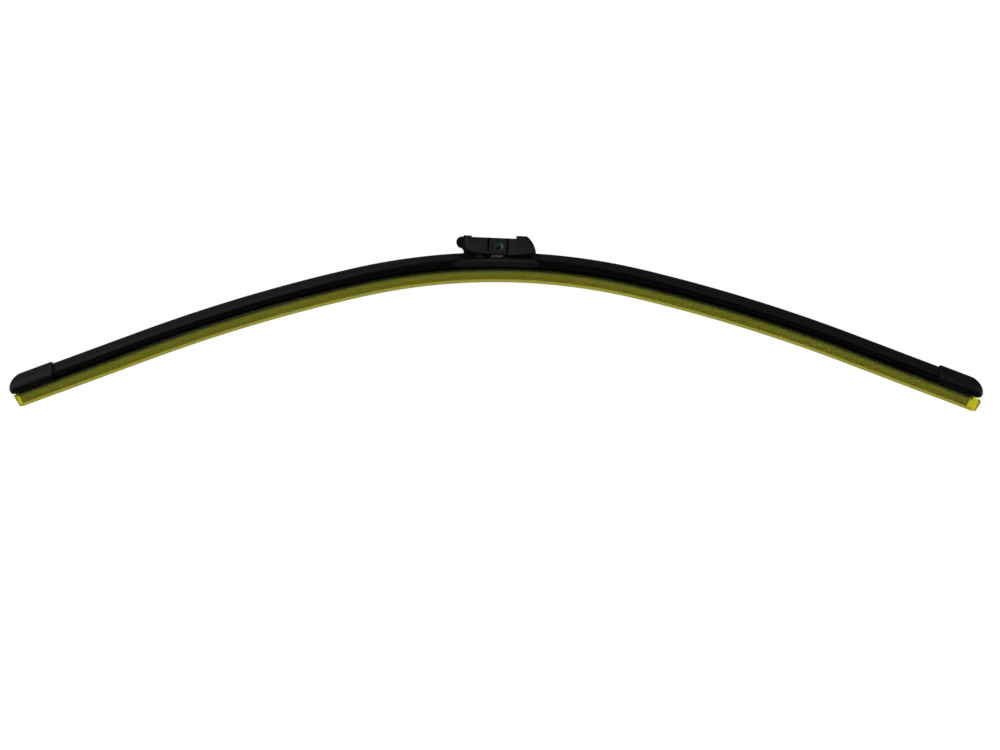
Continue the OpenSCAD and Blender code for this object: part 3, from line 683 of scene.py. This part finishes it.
def moulded(name, dark, light, shade, grain=2600, roughness=(0.42, 0.58), flow_scale=90):
    """Black moulded plastic with a spark-eroded grain and faint flow marks."""
    look = Shader(name)
    flow = look.noise(flow_scale, 4, 0.6)
    # Painted light and shade: shade(look) scales the colour and the specular level
    factor = shade(look)
    return look.set(
        Base_Color=look.tinted(look.ramp(flow, [(0.3, dark), (0.7, light)]), factor),
        Specular_IOR_Level=look.maths("MULTIPLY", factor, 0.08),
        Roughness=look.spread(look.noise(400, 3), *roughness),
        Normal=look.bump(look.noise(grain, 4, 0.65), 0.35, 0.06 * MM),
    )


def extruded(name, dark, light, lines, roughness):
    """Black extrusion with fine die lines along the blade and painted shade on its lower flank.

    The painted shade on the flank reaches FLANK_RISE higher at the blade's middle."""
    look = Shader(name)
    streaks = look.noise(1, 5, 0.7, look.scaled(look.uv("UVMap"), (12, lines, 1)))
    colour = look.ramp(streaks, [(0.3, dark), (0.7, light)])
    away = look.maths("ABSOLUTE", look.from_pivot((1, 0, 0)))
    rise = look.fade(away, *FLANK_RISE_RUN, FLANK_RISE, 0)
    height = look.maths("SUBTRACT", look.section_height(), rise)
    factor = look.fade(height, *FLANK_SHADOW, FLANK_DARK, 1)
    grain = look.noise(3000, 3)
    return look.set(
        Base_Color=look.tinted(colour, factor),
        Roughness=look.spread(streaks, *roughness),
        Specular_IOR_Level=look.maths("MULTIPLY", factor, 0.07),
        Normal=look.bump(grain, 0.15, 0.04 * MM, look.bump(streaks, 0.3, 0.08 * MM)),
    )


def steel(name, colour, roughness, shade=None):
    """Steel brushed along the blade."""
    look = Shader(name, Metallic=1.0)
    brushed = look.noise(1, 4, 0.6, look.scaled(look.place, (60, 2500, 2500)))
    dark = tuple(c * 0.8 for c in colour)
    base = look.ramp(brushed, [(0.3, dark), (0.7, colour)])
    # Painted shade, where given, scales the colour
    return look.set(
        Base_Color=look.tinted(base, shade(look)) if shade else base,
        Roughness=look.spread(brushed, *roughness),
        Normal=look.bump(brushed, 0.2, 0.04 * MM),
    )


def pin_material():
    """Zinc with a blue-green passivate, painted on its upper right only as a painted highlight."""
    look = Shader("pin_zinc", Metallic=0.5, Specular_IOR_Level=0.15)
    blotches = look.spread(look.noise(900, 3), -1 * MM, 1 * MM)
    across = look.from_pivot((0.93, 0, 0.37))
    side = look.fade(look.maths("ADD", across, blotches), -0.8 * MM, 3.6 * MM, 0, 1)
    stops = [(0.0, (0.006, 0.007, 0.007)), (0.5, (0.003, 0.007, 0.007)), (1.0, (0.03, 0.12, 0.09))]
    return look.set(
        Base_Color=look.ramp(side, stops), Roughness=look.spread(look.noise(1500, 4), 0.3, 0.5)
    )


def sleeve_material():
    """Clear yellow plastic: bright at its foot and its bare ends, olive over the rubber."""
    look = Shader("sleeve_yellow", IOR=1.2, Transmission_Weight=0.92, Specular_IOR_Level=0.08)
    level = look.fade(look.section_height(), SLEEVE_FOOT * MM, SLEEVE_RAMP_TOP, 0, 1)
    streaks = look.noise(1, 4, 0.6, look.scaled(look.uv("UVMap"), (6, 1500, 1)))
    bands = look.maths("ADD", level, look.spread(streaks, -0.03, 0.03))
    # Painted shade: the ramp's last stops darken the top of the sleeve
    colour = look.ramp(bands, [
        (0.0, (0.16, 0.15, 0.0)), (0.045, (0.27, 0.26, 0.03)), (0.17, (0.30, 0.29, 0.04)),
        (0.23, (0.60, 0.55, 0.002)), (0.43, (0.64, 0.60, 0.002)), (0.6, (0.64, 0.68, 0.003)),
        (0.8, (0.50, 0.54, 0.005)), (0.87, (0.13, 0.13, 0.005)), (1.0, (0.08, 0.08, 0.005)),
    ])
    x = look.from_pivot((1, 0, 0))
    beyond = []
    for side, inset in RUBBER_INSET.items():
        start = HALF_LENGTH - inset + BARE_FROM
        near, far = (on_beam(side * s, 0, 0).x - PIVOT.x for s in (start, start + BARE_BLEND))
        beyond.append(look.fade(x, near, far, 0, 1))
    ends = look.maths("ADD", *beyond)
    return look.set(
        Base_Color=look.painted_over(ends, colour, (0.66, 0.64, 0.03)),
        Roughness=look.spread(streaks, 0.06, 0.14),
        Normal=look.bump(streaks, 0.12, 0.05 * MM),
    )


def lay_uv(piece, outline):
    """UV maps of a swept piece: arc length and way round the section, and (y, v), in metres."""
    around = [0]
    for i in range(1, len(outline)):
        around.append(around[-1] + (outline[i] - outline[i - 1]).length)
    mesh = piece.data
    mesh.uv_layers.new(name="UVMap")
    mesh.uv_layers.new(name="Section")
    n = len(outline)
    for loop in mesh.loops:
        ring, j = divmod(loop.vertex_index, n)
        mesh.uv_layers["UVMap"].data[loop.index].uv = (ring * RING_STEP, around[j])
        mesh.uv_layers["Section"].data[loop.index].uv = outline[j]


def paint(piece, material):
    piece.data.materials.clear()
    piece.data.materials.append(material)


def dress(piece, material, body, node):
    """Paints a piece that stands for a CAD node, hides the node and gives the piece its body."""
    paint(piece, material)
    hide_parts(node)
    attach(piece, body)


def run(name, half, start, end, material, slot, node, lean=0):
    """A piece of the blade that follows the beam from start to end."""
    outline = rounded(both_sides(half))
    piece = swept(name, outline, start, end, lean)
    lay_uv(piece, outline)
    dress(piece, material, "blade", node)


spoiler_look = extruded(
    "spoiler_black", (0.0025, 0.0025, 0.0027), (0.005, 0.005, 0.0052), 1500, (0.5, 0.65)
)
rubber_look = extruded(
    "rubber_black", (0.003, 0.003, 0.003), (0.007, 0.007, 0.0065), 1200, (0.6, 0.8)
)
sleeve_look = sleeve_material()
adapter_look = moulded(
    "adapter_black", (0.0015, 0.0015, 0.0016), (0.0052, 0.005, 0.005), adapter_shade,
    flow_scale=230,
)
cover_look = moulded(
    "cover_black", (0.005, 0.005, 0.006), (0.009, 0.009, 0.010), cover_shade, 2200, (0.35, 0.5)
)
strip_look = steel("strip_steel", (0.20, 0.21, 0.22), (0.3, 0.5))
# Painted shade: the bracket's steel is coloured dark for the shade it lies in under the adapter
bracket_look = steel("bracket_steel", (0.045, 0.040, 0.043), (0.35, 0.5), bracket_shade)

run("rubber", RUBBER, -HALF_LENGTH + RUBBER_INSET[-1], HALF_LENGTH - RUBBER_INSET[1],
    rubber_look, "rubber", "rubber_element")
run("sleeve", SLEEVE, -HALF_LENGTH + SLEEVE_INSET[-1], HALF_LENGTH - SLEEVE_INSET[1],
    sleeve_look, "sleeve_plastic", "protective_sleeve", SLEEVE_LEAN)
run("spoiler_front_half", SPOILER, -HALF_LENGTH + SPOILER_INSET, COVER_MIDDLE - COVER_HALF,
    spoiler_look, "spoiler_plastic", "spoiler_left")
run("spoiler_rear_half", SPOILER, COVER_MIDDLE + COVER_HALF, HALF_LENGTH - SPOILER_INSET,
    spoiler_look, "spoiler_plastic", "spoiler_right")
for name, side in (("left", -1), ("right", 1)):
    cap = end_cap("cap_" + name, side)
    cap_look = moulded(
        "cap_black_" + name, (0.002, 0.002, 0.0021), (0.004, 0.004, 0.0041), cap_shade(side)
    )
    dress(cap, cap_look, "blade", "end_cap_" + name)
cover = softened("connector_cover", "cover", COVER_EDGE)
dress(cover, cover_look, "blade", "connector_cover")
shell = softened("adapter", "adapter_shell", SHELL_EDGE)
add_blocks(shell, SLIT_WEBS + [CHIN_TAB])
dress(shell, adapter_look, "adapter", "adapter")
pin = turned_pin("pin", PIN_END + [(r, -y) for r, y in PIN_END[::-1]])
dress(pin, pin_material(), "blade", "pivot_pin")
for node in ("flexor_front", "flexor_rear"):
    paint(frame["nodes"][node], strip_look)
paint(frame["nodes"]["bracket"], bracket_look)

# Stage: a plain pale floor under a white surround, low enough for the blade's swing

FLOOR_DROP = 45 * MM
FLOOR_HALF = 6
SURROUND_SEEN = 1.0
SURROUND_LIGHT = 0.3
KEY_PLACE = (-1.1, -2.1, 0.7)
KEY_AIM = (0, 0, -0.05)
KEY_SIZE = (1.8, 1.2)
KEY_POWER = 36
SUN_POWER = 1.0
SUN_SPREAD = math.radians(70)
SUN_TILT = math.radians(-35)


def stage_floor():
    mesh = bpy.data.meshes.new("floor")
    half = FLOOR_HALF
    low = cad_box[0].z - FLOOR_DROP
    mesh.from_pydata(
        [(-half, -half, low), (half, -half, low), (half, half, low), (-half, half, low)],
        [], [(0, 1, 2, 3)],
    )
    floor = new_object("floor", mesh)
    look = Shader(
        "floor_white", Base_Color=(0.85, 0.85, 0.85, 1), Roughness=0.9, Specular_IOR_Level=0.1,
        Emission_Color=(1, 1, 1, 1), Emission_Strength=0.8,
    )
    mesh.materials.append(look.material)


def surround():
    """A world that the camera sees as white and that lights the blade more softly."""
    world = bpy.data.worlds.new("surround")
    bpy.context.scene.world = world
    world.use_nodes = True
    nodes = world.node_tree.nodes
    links = world.node_tree.links
    back = nodes["Background"]
    back.inputs["Color"].default_value = (1, 1, 1, 1)
    path = nodes.new("ShaderNodeLightPath")
    seen = nodes.new("ShaderNodeMath")
    seen.operation = "MAXIMUM"
    links.new(path.outputs["Is Camera Ray"], seen.inputs[0])
    links.new(path.outputs["Is Transmission Ray"], seen.inputs[1])
    strength = nodes.new("ShaderNodeMapRange")
    strength.inputs["To Min"].default_value = SURROUND_LIGHT
    strength.inputs["To Max"].default_value = SURROUND_SEEN
    links.new(seen.outputs[0], strength.inputs["Value"])
    links.new(strength.outputs[0], back.inputs["Strength"])


def key_light():
    data = bpy.data.lights.new("key", "AREA")
    data.shape = "RECTANGLE"
    data.size, data.size_y = KEY_SIZE
    data.energy = KEY_POWER
    light = new_object("key", data)
    light.location = KEY_PLACE
    towards = Vector(KEY_AIM) - Vector(KEY_PLACE)
    light.rotation_euler = towards.to_track_quat("-Z", "Y").to_euler()


def sun_light():
    data = bpy.data.lights.new("sun", "SUN")
    data.energy = SUN_POWER
    data.angle = SUN_SPREAD
    new_object("sun", data).rotation_euler.y = SUN_TILT


stage_floor()
surround()
key_light()
sun_light()

# Camera: it looks level, a pixel of the photograph's frame is PIXEL wide at the blade, and the
# pin lies at PIN_PIXEL

LENS = 85
SENSOR = 36
PIXEL = 0.6415 * MM
FRAME_PIXELS = (1000, 750)
PIN_PIXEL = (498.6, 247.8)
ROLL = math.radians(-0.29)
YAW = math.radians(-0.35)

camera_data = bpy.data.cameras.new("camera")
camera_data.lens = LENS
camera_data.sensor_width = SENSOR
camera = new_object("camera", camera_data)
distance = PIXEL * FRAME_PIXELS[0] * LENS / SENSOR
right = (FRAME_PIXELS[0] / 2 - PIN_PIXEL[0]) * PIXEL
down = (FRAME_PIXELS[1] / 2 - PIN_PIXEL[1]) * PIXEL
turn = Matrix.Rotation(YAW, 3, "Z")
aim = PIVOT + turn @ Vector((
    right * math.cos(ROLL) - down * math.sin(ROLL),
    0,
    -down * math.cos(ROLL) - right * math.sin(ROLL),
))
camera.location = aim + turn @ Vector((0, -distance, 0))
camera.rotation_euler = (math.pi / 2, ROLL, YAW)
bpy.context.scene.camera = camera
bpy.context.scene.view_settings.view_transform = "Standard"
